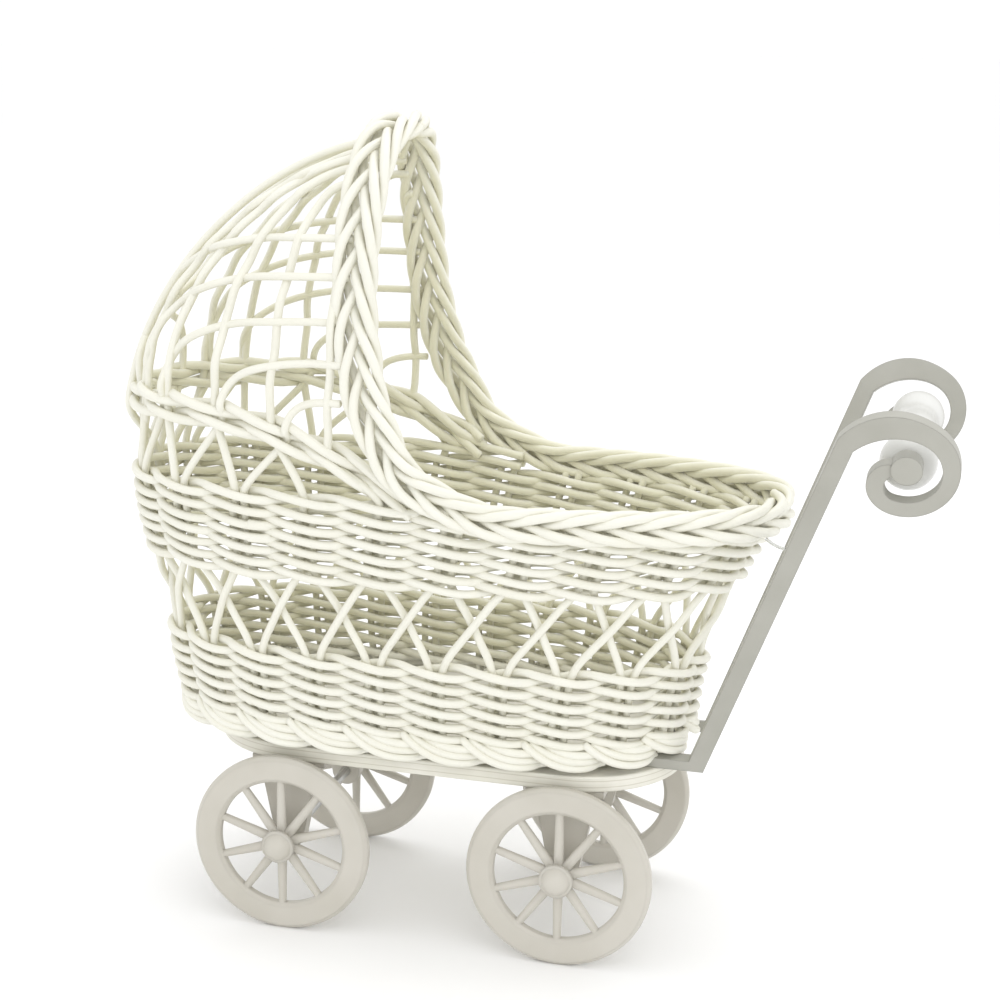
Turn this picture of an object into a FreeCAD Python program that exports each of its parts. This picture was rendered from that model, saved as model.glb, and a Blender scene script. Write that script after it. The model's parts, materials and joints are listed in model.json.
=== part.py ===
import FreeCAD, Part
import math
import os
import Sketcher

# Doll pram: wicker basket and hood on a plywood board with four spoked wheels
# and a two-armed push handle. Millimetres, +Z up, the hood end at -X, the
# handle at +X, the floor at Z = 0.

doc = FreeCAD.newDocument("doll_pram")
V = FreeCAD.Vector

SIZES = {
    # the model is drawn about the middle of the wheel base, then moved by this much along X
    "frame_shift": -31.05,
    # running gear
    "wheel_radius": 36.0,
    "rim_inner_radius": 25.4,
    "rim_width": 5.0,
    "rim_edge_round": 1.4,
    "spoke_count": 10,
    "spoke_root_radius": 2.0,
    "spoke_tip_radius": 1.5,
    "hub_radius": 4.4,
    "hub_width": 7.6,
    "running_clearance": 0.06,
    "rod_radius": 2.0,
    "axle_half_base": 55.8,
    "wheel_half_track": 45.2,
    "cap_radius": 6.6,
    "cap_flange": 1.2,
    "cap_height": 5.0,
    "side_play": 0.35,
    # brackets and board
    "bracket_plate_thick": 3.0,
    "bracket_plate_long": 30.0,
    "bracket_plate_wide": 74.0,
    "bracket_leg_top": 24.0,
    "bracket_foot_radius": 6.0,
    "bracket_leg_thick": 6.0,
    "bracket_leg_outer": 37.0,
    "screw_head_radius": 2.6,
    "screw_head_height": 1.5,
    "bracket_screw_inset": 4.0,
    "bracket_screw_side": 18.0,
    "board_bottom": 68.4,
    "board_thick": 6.2,
    "board_half_width": 40.0,
    "board_half_straight": 55.0,
    "board_edge_round": 0.8,
    # handle
    "arm_thick": 5.0,
    "arm_width": 6.6,
    "foot_height": 4.4,
    "foot_start": 66.0,
    "foot_end": 106.0,
    "foot_outer_side": 22.0,
    "arm_lean_deg": 14.6,
    "arm_rise_deg": 69.5,
    "scroll_x": 175.0,
    "scroll_z": 205.0,
    "scroll_radius": 17.9,
    "scroll_disc_radius": 5.4,
    "grip_bulb_radius": 10.0,
    "grip_waist_radius": 7.6,
    "grip_end_radius": 4.8,
    "grip_half_length": 50.0,
    "grip_spigot_length": 6.0,
    "cross_plate_thick": 2.6,
    "cross_plate_start": 60.0,
    "cross_plate_long": 34.0,
    "cross_plate_gap": 2.2,
    "foot_screw_start": 78.0,
    "foot_screw_pitch": 8.0,
    "foot_screw_side": 12.0,
    # basket
    "reed_radius": 1.5,
    "strand_gap": 0.7,
    "floor_bottom": 80.3,
    "floor_thick": 2.7,
    "floor_gap": 1.2,
    "border_radius": 3.2,
    "border_height": 80.7,
    "border_lift": 3.4,
    "border_lift_start": 55.0,
    "border_lift_run": 42.0,
    "band_relief": 3.8,
    "band_relief_start": 50.0,
    "low_band_bottom": 84.2,
    "low_band_top": 117.0,
    "high_band_bottom": 150.0,
    "high_band_top": 177.0,
    "high_band_rim": 168.6,
    "band_thick": 5.0,
    "stake_pairs": 22,
    "stake_pair_turn": 0.1,
    "trellis_lean": 0.75,
    "rim_radius": 6.6,
    "rim_foot_rise": 6.1,
    "rim_overhang": 4.0,
    "arch_radius": 6.4,
    "middle_band_radius": 5.0,
    "hood_plane": -16.0,
    "hood_base": 200.0,
    "hood_rise": 110.0,
    "hood_depth": 105.4,
    "arch_plane": -24.0,
    "stake_front": -34.6,
    "hood_half_width": 55.0,
    "tie_radius": 0.6,
}


def make_sheet():
    """Write every driving size into one spreadsheet, one alias a row."""
    table = doc.addObject("Spreadsheet::Sheet", "sizes")
    for row, (alias, value) in enumerate(SIZES.items(), start=1):
        table.set("A%d" % row, alias)
        table.set("B%d" % row, str(value))
        table.setAlias("B%d" % row, alias)
    doc.recompute()
    return table


sheet = make_sheet()


def size(alias):
    """Read one driving size back from the sheet."""
    return float(sheet.get(alias))


# ---------------------------------------------------------------- body form

BACK_EDGE = [(77.0, -107.0), (85.0, -111.5), (100.0, -114.8), (120.0, -117.6), (140.0, -122.3),
             (160.0, -127.5), (180.0, -129.6), (200.0, -129.4)]
FRONT_EDGE = [(77.0, 97.5), (85.0, 98.6), (100.0, 100.6), (120.0, 104.6), (140.0, 112.0),
              (160.0, 122.0), (180.0, 131.5), (200.0, 139.0)]
HALF_WIDTH = [(77.0, 46.0), (85.0, 47.5), (100.0, 49.2), (120.0, 50.6), (140.0, 52.6),
              (160.0, 55.4), (180.0, 57.5), (200.0, 56.0)]
PLAN_POWER = 2.6
HOOD_TOP_POWER = 2.1
HOOD_BACK_POWER = 1.5
HOOD_SIDE_POWER = 2.1


def between(table, height):
    """Straight interpolation in a short table of (height, value)."""
    if height <= table[0][0]:
        return table[0][1]
    for (low, a), (high, b) in zip(table, table[1:]):
        if height <= high:
            share = (height - low) / (high - low)
            return a + (b - a) * share
    return table[-1][1]


def hood_share(height):
    """How far up the hood a height lies, 0 at its base and 1 at its top."""
    return min(1.0, max(0.0, (height - size("hood_base")) / size("hood_rise")))


def back_end(height):
    """Where the back end of the body lies at a height."""
    if height > size("hood_base"):
        reach = (1 - hood_share(height) ** HOOD_BACK_POWER) ** (1 / HOOD_BACK_POWER)
        return size("arch_plane") - size("hood_depth") * reach
    return between(BACK_EDGE, height)


def half_width(height):
    """Half of the body's width at a height."""
    if height > size("hood_base"):
        return size("hood_half_width") * (1 - hood_share(height) ** HOOD_SIDE_POWER) ** (1 / HOOD_SIDE_POWER)
    return between(HALF_WIDTH, height)


def plan_power(height):
    """Squareness of the body's outline at a height."""
    return PLAN_POWER + (HOOD_TOP_POWER - PLAN_POWER) * hood_share(height)


def outline(height, angle, inset=0.0):
    """Point of the body's outline: angle 0 at the handle end, 90 on the right side (+Y)."""
    power = 2.0 / plan_power(height)
    cosine = math.cos(math.radians(angle))
    sine = math.sin(math.radians(angle))
    centre = size("hood_plane")
    if cosine < 0:
        reach = centre - back_end(height) - inset
    else:
        reach = between(FRONT_EDGE, height) - centre - inset
    wide = half_width(height) - inset
    x = centre + reach * math.copysign(abs(cosine) ** power, cosine)
    y = wide * math.copysign(abs(sine) ** power, sine)
    return V(x, y, height)


def even_angles(height, count, start=0.0):
    """Angles of points spaced evenly along the outline at a height."""
    steps = 1440
    angles = [360.0 * i / steps for i in range(steps + 1)]
    points = [outline(height, a) for a in angles]
    run = [0.0]
    for a, b in zip(points, points[1:]):
        run.append(run[-1] + a.distanceToPoint(b))
    found = []
    at = 0
    for i in range(count):
        want = ((i + start) / count) % 1.0 * run[-1]
        at = min(range(steps), key=lambda k: abs(run[k] - want))
        found.append(angles[at])
    return found


def closed_wire(points):
    """Closed smooth wire through points."""
    curve = Part.BSplineCurve()
    curve.interpolate(points, True)
    return Part.Wire([curve.toShape()])


def open_curve(points):
    """Open smooth edge through points."""
    curve = Part.BSplineCurve()
    curve.interpolate(points)
    return curve.toShape()


def tube(path, radius):
    """Round rod swept along a wire."""
    edge = path.Edges[0]
    start = edge.valueAt(edge.FirstParameter)
    along = edge.tangentAt(edge.FirstParameter)
    ring = Part.Wire([Part.makeCircle(radius, start, along)])
    return Part.Wire(path.Edges).makePipeShell([ring], True, False)


def rod_through(points, radius):
    """Round rod along a smooth curve through points."""
    return tube(open_curve(points), radius)


def add_shape(name, shape):
    """Sub-part whose form is given by Part functions."""
    feature = doc.addObject("Part::Feature", name)
    feature.Label = name
    feature.Shape = shape
    shift = FreeCAD.Placement(V(size("frame_shift"), 0, 0), FreeCAD.Rotation())
    feature.Placement = shift.multiply(feature.Placement)
    return feature


# ------------------------------------------------------------ sketch helpers

def origin_plane(body, role):
    """One origin plane or axis of a body."""
    for item in body.Origin.OriginFeatures:
        if item.Role == role:
            return item
    raise ValueError(role)


def new_body(name):
    """Empty body with its label."""
    body = doc.addObject("PartDesign::Body", name)
    body.Label = name
    return body


def new_sketch(body, name, role):
    """Sketch on one of the body's origin planes."""
    sketch = body.newObject("Sketcher::SketchObject", name)
    sketch.AttachmentSupport = [(origin_plane(body, role), "")]
    sketch.MapMode = "FlatFace"
    return sketch


def bind(sketch, constraint, expression):
    """Add one constraint and drive it from the sheet."""
    index = sketch.addConstraint(constraint)
    sketch.setExpression("Constraints[%d]" % index, expression)
    return index


def polygon(sketch, corners):
    """Closed chain of lines; returns the index of the first."""
    first = sketch.GeometryCount
    for a, b in zip(corners, corners[1:] + corners[:1]):
        sketch.addGeometry(Part.LineSegment(V(a[0], a[1], 0), V(b[0], b[1], 0)), False)
    count = len(corners)
    for i in range(count):
        sketch.addConstraint(Sketcher.Constraint("Coincident", first + i, 2, first + (i + 1) % count, 1))
    return first


def sketched_polygon(sketch, corners):
    """Polygon whose corners are pairs of expressions."""
    values = []
    for across, up in corners:
        values.append((evaluate(across), evaluate(up)))
    first = polygon(sketch, values)
    for i, (across, up) in enumerate(corners):
        place_expression(sketch, first + i, across, up)


def evaluate(expression):
    """Number that a sheet expression stands for."""
    scratch = doc.getObject("scratch") or doc.addObject("App::FeaturePython", "scratch")
    if not hasattr(scratch, "Value"):
        scratch.addProperty("App::PropertyFloat", "Value")
    scratch.setExpression("Value", expression)
    scratch.recompute()
    return scratch.Value


def place_expression(sketch, line, across, up):
    """Fix a line's start by signed distances from the origin."""
    for kind, axis_expression in (("DistanceX", across), ("DistanceY", up)):
        value = evaluate(axis_expression)
        if abs(value) < 1e-9:
            geometry = -2 if kind == "DistanceX" else -1
            sketch.addConstraint(Sketcher.Constraint("PointOnObject", line, 1, geometry))
        elif value > 0:
            bind(sketch, Sketcher.Constraint(kind, -1, 1, line, 1, value), axis_expression)
        else:
            bind(sketch, Sketcher.Constraint(kind, line, 1, -1, 1, -value), "-(%s)" % axis_expression)


def revolve(body, name, sketch, axis):
    """Full turn of a sketch about its own horizontal or vertical axis."""
    feature = body.newObject("PartDesign::Revolution", name)
    feature.Profile = sketch
    feature.ReferenceAxis = (sketch, [axis])
    feature.Angle = 360.0
    sketch.Visibility = False
    return feature


# ------------------------------------------------------------- running gear

def make_board():
    """Plywood plate: straight sides, half-round ends, softened edges."""
    body = new_body("base_board")
    sketch = new_sketch(body, "board_outline", "XY_Plane")
    half = size("board_half_straight")
    radius = size("board_half_width")
    sketch.addGeometry(Part.LineSegment(V(-half, -radius, 0), V(half, -radius, 0)), False)
    right_arc = Part.ArcOfCircle(Part.Circle(V(half, 0, 0), V(0, 0, 1), radius), -math.pi / 2, math.pi / 2)
    sketch.addGeometry(right_arc, False)
    sketch.addGeometry(Part.LineSegment(V(half, radius, 0), V(-half, radius, 0)), False)
    left_arc = Part.ArcOfCircle(Part.Circle(V(-half, 0, 0), V(0, 0, 1), radius), math.pi / 2, 3 * math.pi / 2)
    sketch.addGeometry(left_arc, False)
    for a, b in ((0, 1), (1, 2), (2, 3), (3, 0)):
        sketch.addConstraint(Sketcher.Constraint("Tangent", a, 2, b, 1))
    sketch.addConstraint(Sketcher.Constraint("Horizontal", 0))
    sketch.addConstraint(Sketcher.Constraint("PointOnObject", 1, 3, -1))
    sketch.addConstraint(Sketcher.Constraint("Symmetric", 1, 3, 3, 3, -1, 1))
    bind(sketch, Sketcher.Constraint("Radius", 1, radius), "sizes.board_half_width")
    bind(sketch, Sketcher.Constraint("DistanceX", -1, 1, 1, 3, half), "sizes.board_half_straight")
    pad = body.newObject("PartDesign::Pad", "board_pad")
    pad.Profile = sketch
    pad.setExpression("Length", "sizes.board_thick")
    doc.recompute()
    edge = body.newObject("PartDesign::Fillet", "board_edges")
    edge.Base = (pad, ["Face%d" % (i + 1) for i, f in enumerate(pad.Shape.Faces)
                       if abs(abs(f.normalAt(0, 0).z) - 1) < 1e-6])
    edge.setExpression("Radius", "sizes.board_edge_round")
    body.Tip = edge
    body.setExpression("Placement.Base.x", "sizes.frame_shift")
    body.setExpression("Placement.Base.z", "sizes.board_bottom")
    return body


def make_bracket(name, x_expression):
    """Moulded bracket: plate under the board and two tapering legs to the rod."""
    body = new_body(name)
    leg = new_sketch(body, name + "_leg", "XZ_Plane")
    drop = "(sizes.board_bottom - sizes.bracket_plate_thick - sizes.wheel_radius)"
    top = evaluate(drop)
    half_top = size("bracket_leg_top") / 2
    foot = size("bracket_foot_radius")
    leg.addGeometry(Part.LineSegment(V(-half_top, top, 0), V(half_top, top, 0)), False)
    leg.addGeometry(Part.LineSegment(V(half_top, top, 0), V(foot, 0, 0)), False)
    leg.addGeometry(Part.ArcOfCircle(Part.Circle(V(0, 0, 0), V(0, 0, 1), foot), math.pi, 2 * math.pi), False)
    leg.addGeometry(Part.LineSegment(V(-foot, 0, 0), V(-half_top, top, 0)), False)
    leg.addConstraint(Sketcher.Constraint("Coincident", 0, 2, 1, 1))
    leg.addConstraint(Sketcher.Constraint("Coincident", 1, 2, 2, 2))
    leg.addConstraint(Sketcher.Constraint("Coincident", 2, 1, 3, 1))
    leg.addConstraint(Sketcher.Constraint("Coincident", 3, 2, 0, 1))
    leg.addConstraint(Sketcher.Constraint("Coincident", 2, 3, -1, 1))
    leg.addConstraint(Sketcher.Constraint("Symmetric", 0, 1, 0, 2, -2))
    leg.addConstraint(Sketcher.Constraint("PointOnObject", 1, 2, -1))
    leg.addConstraint(Sketcher.Constraint("PointOnObject", 3, 1, -1))
    bind(leg, Sketcher.Constraint("DistanceX", 0, 1, 0, 2, 2 * half_top), "sizes.bracket_leg_top")
    bind(leg, Sketcher.Constraint("DistanceY", -1, 1, 0, 1, top), drop)
    bind(leg, Sketcher.Constraint("Radius", 2, foot), "sizes.bracket_foot_radius")
    hole = leg.addGeometry(Part.Circle(V(0, 0, 0), V(0, 0, 1), size("rod_radius")), False)
    leg.addConstraint(Sketcher.Constraint("Coincident", hole, 3, -1, 1))
    bind(leg, Sketcher.Constraint("Radius", hole, size("rod_radius")),
         "sizes.rod_radius + sizes.running_clearance / 2")
    leg.setExpression("AttachmentOffset.Base.z", "sizes.bracket_leg_outer - sizes.bracket_leg_thick")
    wall = body.newObject("PartDesign::Pad", name + "_wall")
    wall.Profile = leg
    wall.setExpression("Length", "sizes.bracket_leg_thick")
    plate = new_sketch(body, name + "_plate_outline", "XY_Plane")
    half_long = "sizes.bracket_plate_long / 2"
    half_wide = "sizes.bracket_plate_wide / 2"
    sketched_polygon(plate, [("-" + half_long, "-" + half_wide), (half_long, "-" + half_wide),
                             (half_long, half_wide), ("-" + half_long, half_wide)])
    plate.setExpression("AttachmentOffset.Base.z", drop)
    slab = body.newObject("PartDesign::Pad", name + "_plate")
    slab.Profile = plate
    slab.setExpression("Length", "sizes.bracket_plate_thick")
    doc.recompute()
    mirror = body.newObject("PartDesign::Mirrored", name + "_other_leg")
    mirror.Originals = [wall]
    mirror.MirrorPlane = (origin_plane(body, "XZ_Plane"), [""])
    body.Tip = mirror
    body.setExpression("Placement.Base.x", x_expression)
    body.setExpression("Placement.Base.z", "sizes.wheel_radius")
    return body


def make_rod(name, x_expression):
    """Steel rod that carries two wheels and their caps."""
    rod = doc.addObject("Part::Cylinder", name)
    rod.Label = name
    rod.setExpression("Radius", "sizes.rod_radius")
    half = "(sizes.wheel_half_track + sizes.hub_width / 2 + sizes.side_play + 2 * sizes.cap_flange)"
    rod.setExpression("Height", "2 * " + half)
    rod.Placement = FreeCAD.Placement(V(0, 0, 0), FreeCAD.Rotation(V(1, 0, 0), -90))
    rod.setExpression("Placement.Base.x", x_expression)
    rod.setExpression("Placement.Base.y", "-" + half)
    rod.setExpression("Placement.Base.z", "sizes.wheel_radius")
    return rod


def make_wheel(name, x_expression, side):
    """One moulded wheel: hub barrel, ten tapered round spokes and a flat rounded rim."""
    body = new_body(name)
    hub = new_sketch(body, name + "_hub", "YZ_Plane")
    half_hub = "sizes.hub_width / 2"
    bore = "sizes.rod_radius + sizes.running_clearance"
    sketched_polygon(hub, [("-" + half_hub, bore), (half_hub, bore),
                           (half_hub, "sizes.hub_radius"), ("-" + half_hub, "sizes.hub_radius")])
    revolve(body, name + "_barrel", hub, "H_Axis")
    spoke = new_sketch(body, name + "_spoke", "YZ_Plane")
    root = "sizes.hub_radius - 0.6"
    tip = "sizes.rim_inner_radius + 0.8"
    sketched_polygon(spoke, [("0", root), ("sizes.spoke_root_radius", root),
                             ("sizes.spoke_tip_radius", tip), ("0", tip)])
    arm = revolve(body, name + "_spoke_turned", spoke, "V_Axis")
    doc.recompute()
    ring = body.newObject("PartDesign::PolarPattern", name + "_spokes")
    ring.Originals = [arm]
    ring.Axis = (origin_plane(body, "Y_Axis"), [""])
    ring.Angle = 360.0
    ring.setExpression("Occurrences", "sizes.spoke_count")
    body.Tip = ring
    doc.recompute()
    rim = new_sketch(body, name + "_rim", "YZ_Plane")
    half_rim = "sizes.rim_width / 2"
    soft = "sizes.rim_edge_round"
    inner = "sizes.rim_inner_radius"
    outer = "sizes.wheel_radius"
    sketched_polygon(rim, [
        ("-(%s) + %s" % (half_rim, soft), inner), ("%s - %s" % (half_rim, soft), inner),
        (half_rim, "%s + %s" % (inner, soft)), (half_rim, "%s - %s" % (outer, soft)),
        ("%s - %s" % (half_rim, soft), outer), ("-(%s) + %s" % (half_rim, soft), outer),
        ("-(%s)" % half_rim, "%s - %s" % (outer, soft)), ("-(%s)" % half_rim, "%s + %s" % (inner, soft))])
    tread = revolve(body, name + "_tread", rim, "H_Axis")
    body.Tip = tread
    body.setExpression("Placement.Base.x", x_expression)
    body.setExpression("Placement.Base.y", "%s * sizes.wheel_half_track" % side)
    body.setExpression("Placement.Base.z", "sizes.wheel_radius")
    return body


def make_cap(name, x_expression, side):
    """Domed push-on cap with a flange, pressed on the end of a rod."""
    body = new_body(name)
    profile = new_sketch(body, name + "_profile", "YZ_Plane")
    radius = size("cap_radius")
    flange = size("cap_flange")
    height = size("cap_height")
    dome = radius - flange
    rise = height - flange
    bulge = (dome ** 2 + rise ** 2) / (2 * rise)
    centre = flange + rise - bulge
    sweep = math.asin(dome / bulge)
    profile.addGeometry(Part.LineSegment(V(0, 0, 0), V(0, radius, 0)), False)
    profile.addGeometry(Part.LineSegment(V(0, radius, 0), V(flange, radius, 0)), False)
    profile.addGeometry(Part.LineSegment(V(flange, radius, 0), V(flange, dome, 0)), False)
    arc = Part.ArcOfCircle(Part.Circle(V(centre, 0, 0), V(0, 0, 1), bulge), 0, sweep)
    profile.addGeometry(arc, False)
    profile.addGeometry(Part.LineSegment(V(height, 0, 0), V(0, 0, 0)), False)
    for a, b, end in ((0, 1, 1), (1, 2, 1), (2, 3, 2)):
        profile.addConstraint(Sketcher.Constraint("Coincident", a, 2, b, end))
    profile.addConstraint(Sketcher.Constraint("Coincident", 3, 1, 4, 1))
    profile.addConstraint(Sketcher.Constraint("Coincident", 4, 2, 0, 1))
    profile.addConstraint(Sketcher.Constraint("Coincident", 0, 1, -1, 1))
    profile.addConstraint(Sketcher.Constraint("Vertical", 0))
    profile.addConstraint(Sketcher.Constraint("Horizontal", 1))
    profile.addConstraint(Sketcher.Constraint("Vertical", 2))
    profile.addConstraint(Sketcher.Constraint("PointOnObject", 3, 1, -1))
    profile.addConstraint(Sketcher.Constraint("PointOnObject", 3, 3, -1))
    bind(profile, Sketcher.Constraint("DistanceY", 0, 1, 0, 2, radius), "sizes.cap_radius")
    bind(profile, Sketcher.Constraint("DistanceX", 1, 1, 1, 2, flange), "sizes.cap_flange")
    bind(profile, Sketcher.Constraint("DistanceY", -1, 1, 2, 2, dome), "sizes.cap_radius - sizes.cap_flange")
    bind(profile, Sketcher.Constraint("DistanceX", -1, 1, 3, 1, height), "sizes.cap_height")
    solid = revolve(body, name + "_dome", profile, "H_Axis")
    seat = new_sketch(body, name + "_seat", "XZ_Plane")
    seat.addGeometry(Part.Circle(V(0, 0, 0), V(0, 0, 1), size("rod_radius")), False)
    seat.addConstraint(Sketcher.Constraint("Coincident", 0, 3, -1, 1))
    bind(seat, Sketcher.Constraint("Radius", 0, size("rod_radius")), "sizes.rod_radius")
    hole = body.newObject("PartDesign::Pocket", name + "_hole")
    hole.Profile = seat
    hole.Reversed = False
    hole.setExpression("Length", "2 * sizes.cap_flange")
    doc.recompute()
    if hole.Shape.Volume > solid.Shape.Volume - 1.0:
        hole.Reversed = True
    body.Tip = hole
    turn = 180.0 if side < 0 else 0.0
    body.Placement = FreeCAD.Placement(V(0, 0, 0), FreeCAD.Rotation(V(0, 0, 1), turn))
    reach = "(sizes.wheel_half_track + sizes.hub_width / 2 + sizes.side_play)"
    body.setExpression("Placement.Base.x", x_expression)
    body.setExpression("Placement.Base.y", "%d * %s" % (side, reach))
    body.setExpression("Placement.Base.z", "sizes.wheel_radius")
    return body


def screw_head(radius, height):
    """Pan head, flat at z = 0 and rounded above."""
    head = Part.makeCylinder(radius, height)
    return head.makeFillet(height * 0.6, [head.Edges[0]])


def make_bracket_screws():
    """Eight screw heads that hold the two bracket plates up to the board."""
    heads = []
    under = size("board_bottom") - size("bracket_plate_thick")
    for end in (-1, 1):
        for along in (-1, 1):
            for side in (-1, 1):
                head = screw_head(size("screw_head_radius"), size("screw_head_height"))
                head.rotate(V(0, 0, 0), V(1, 0, 0), 180)
                inset = size("bracket_plate_long") / 2 - size("bracket_screw_inset")
                x = end * size("axle_half_base") + along * inset
                head.translate(V(x, side * size("bracket_screw_side"), under))
                heads.append(head)
    return add_shape("bracket_screws", Part.makeCompound(heads))


# -------------------------------------------------------------------- handle

def scroll_point(turn, edge):
    """Point of the scroll band at a polar angle; edge is +1 outside, -1 inside."""
    radius = size("scroll_radius")
    disc = size("scroll_disc_radius")
    if edge > 0:
        reach = radius
        if turn > 60:
            reach += 7.6 * ((turn - 60) / 97.0) ** 1.5
        elif turn < -100:
            reach -= (radius - disc + 0.4) * ((-100 - turn) / 100.0) ** 2.4
    else:
        reach = radius - 7.0
        if turn > 60:
            reach += 8.1 * ((turn - 60) / 103.0) ** 2.6
        else:
            reach += 1.5 * min(1.0, (60 - turn) / 90.0)
        if turn < -107:
            reach -= (radius - 5.5 - disc + 0.4) * ((-107 - turn) / 43.0) ** 3
    at = math.radians(turn)
    return V(reach * math.cos(at), 0, reach * math.sin(at))


def arm_face():
    """Flat outline of an arm: foot bar, straight rise and spiral top, in its own leaning plane."""
    rise = math.radians(size("arm_rise_deg"))
    slope = math.cos(math.radians(size("arm_lean_deg")))
    base = size("board_bottom") + size("board_thick")
    centre = V(size("scroll_x"), 0, (size("scroll_z") - base) / slope)
    heel = V(size("foot_end"), 0, 0)
    toe = V(size("foot_start"), 0, 0)
    tall = size("foot_height")
    wide = size("arm_width") / math.sin(rise)
    elbow = V(size("foot_end") - wide + tall / math.tan(rise), 0, tall)
    outside = [centre + scroll_point(157 - 17 * i, 1) for i in range(22)]
    inside = [centre + scroll_point(163 - i * 313 / 19.0, -1) for i in range(20)]
    edges = [
        Part.makeLine(toe, heel),
        Part.makeLine(heel, inside[0]),
        open_curve(inside),
        Part.makeLine(inside[-1], outside[-1]),
        open_curve(outside[::-1]),
        Part.makeLine(outside[0], elbow),
        Part.makeLine(elbow, V(toe.x, 0, tall)),
        Part.makeLine(V(toe.x, 0, tall), toe),
    ]
    face = Part.Face(Part.Wire(Part.sortEdges(edges)[0]))
    return face, centre


def arm_solid(side):
    """One arm with its disc, leaning outward; side is -1 for the left."""
    face, centre = arm_face()
    thick = size("arm_thick")
    plate = face.extrude(V(0, thick, 0))
    disc = Part.makeCylinder(size("scroll_disc_radius"), thick + 0.8, centre - V(0, 0.8, 0), V(0, 1, 0))
    bar = plate.fuse(disc).removeSplitter()
    bar.rotate(V(0, 0, 0), V(1, 0, 0), size("arm_lean_deg"))
    bar.translate(V(0, -size("foot_outer_side"), size("board_bottom") + size("board_thick") + 0.02))
    if side > 0:
        bar = bar.mirror(V(0, 0, 0), V(0, 1, 0))
    return bar


def make_grip(arms):
    """Turned grip between the two discs, with a bulb at each end, cut flush against the arms."""
    reach = size("grip_half_length")
    bulb = size("grip_bulb_radius")
    waist = size("grip_waist_radius")
    tip = size("grip_end_radius")
    rings = [(-reach, tip), (-reach + 3, tip + 3.4), (-reach + 9, bulb), (-reach + 17, bulb - 1.6),
             (-reach + 24, waist), (-18.0, waist + 0.6), (0.0, waist + 1.4)]
    rings += [(-y, r) for y, r in rings[-2::-1]]
    x = size("scroll_x")
    z = size("scroll_z")
    profile = open_curve([V(x, y, z + r) for y, r in rings])
    spigot = reach + size("grip_spigot_length")
    start = V(x, -spigot, z)
    end = V(x, spigot, z)
    near = V(x, -spigot, z + tip)
    far = V(x, spigot, z + tip)
    edges = [Part.makeLine(start, near), Part.makeLine(near, V(x, -reach, z + tip)), profile,
             Part.makeLine(V(x, reach, z + tip), far), Part.makeLine(far, end), Part.makeLine(end, start)]
    face = Part.Face(Part.Wire(Part.sortEdges(edges)[0]))
    turned = face.revolve(V(x, 0, z), V(0, 1, 0), 360)
    for arm in arms:
        turned = turned.cut(arm)
    middle = max(turned.Solids, key=lambda s: s.Volume)
    return add_shape("handle_grip", middle)


def make_cross_plate():
    """Flat plate on the board between the two feet."""
    plate = doc.addObject("Part::Box", "handle_cross_plate")
    plate.Label = "handle_cross_plate"
    arm_side = "sizes.arm_thick / cos(sizes.arm_lean_deg * 1 deg)"
    inner = "(sizes.foot_outer_side - %s - sizes.cross_plate_gap)" % arm_side
    plate.setExpression("Length", "sizes.cross_plate_long")
    plate.setExpression("Width", "2 * " + inner)
    plate.setExpression("Height", "sizes.cross_plate_thick")
    plate.setExpression("Placement.Base.x", "sizes.frame_shift + sizes.cross_plate_start")
    plate.setExpression("Placement.Base.y", "-" + inner)
    plate.setExpression("Placement.Base.z", "sizes.board_bottom + sizes.board_thick")
    return plate


def make_handle_screws():
    """Four screw heads under the board below the two feet."""
    heads = []
    under = size("board_bottom")
    for step in (0, 1):
        along = size("foot_screw_start") + step * size("foot_screw_pitch")
        for side in (-1, 1):
            head = screw_head(size("screw_head_radius"), size("screw_head_height"))
            head.rotate(V(0, 0, 0), V(1, 0, 0), 180)
            head.translate(V(along, side * size("foot_screw_side"), under))
            heads.append(head)
    return add_shape("handle_screws", Part.makeCompound(heads))


# -------------------------------------------------------------------- basket

def ring_wire(height, inset, steps=48):
    """Closed outline of the body at a height, moved inward by inset."""
    return closed_wire([outline(height, 360.0 * i / steps, inset) for i in range(steps)])


def make_floor():
    """Thin board that closes the basket's bottom."""
    wire = ring_wire(size("floor_bottom"), size("border_radius") * 2 + size("floor_gap"))
    slab = Part.Face(wire).extrude(V(0, 0, size("floor_thick")))
    return add_shape("basket_floor", slab)


def border_height(x):
    """Height of the border's middle; it lifts over the handle's feet."""
    lift = max(0.0, (x - size("border_lift_start")) / size("border_lift_run"))
    return size("border_height") + size("border_lift") * min(1.0, lift) ** 2


def make_border():
    """Border around the foot of the basket: one thick ring made of two half-turn rods."""
    inset = size("border_radius")
    points = []
    for angle in even_angles(78.0, 48):
        at = outline(78.0, angle, inset)
        points.append(V(at.x, at.y, border_height(at.x)))
    halves = [rod_through(points[:25], inset), rod_through(points[24:] + points[:1], inset)]
    return add_shape("foot_border", Part.makeCompound(halves))


def band_shell(low, high, thick):
    """Closed wall that follows the body between two heights."""
    heights = [low + (high - low) * i / 3.0 for i in range(4)]
    outer = Part.makeLoft([ring_wire(h, 0.0) for h in heights], True)
    inner = Part.makeLoft([ring_wire(h, thick) for h in heights], True)
    return outer.cut(inner)


def make_low_band():
    """Lower woven band; it lifts clear of the border over the handle's feet."""
    low = size("low_band_bottom")
    wall = band_shell(low, size("low_band_top"), size("band_thick"))
    start = size("band_relief_start")
    relief = Part.makeBox(80.0, 140.0, size("band_relief") + 1.0, V(start, -70.0, low - 1.0))
    return add_shape("lower_weave_band", wall.cut(relief))


def make_high_band():
    """Upper woven band, lower where the rim runs above it."""
    wall = band_shell(size("high_band_bottom"), size("high_band_top"), size("band_thick"))
    above_rim = Part.makeBox(200.0, 200.0, 30.0, V(RIM_START, -100.0, size("high_band_rim")))
    return add_shape("upper_weave_band", wall.cut(above_rim))


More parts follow.
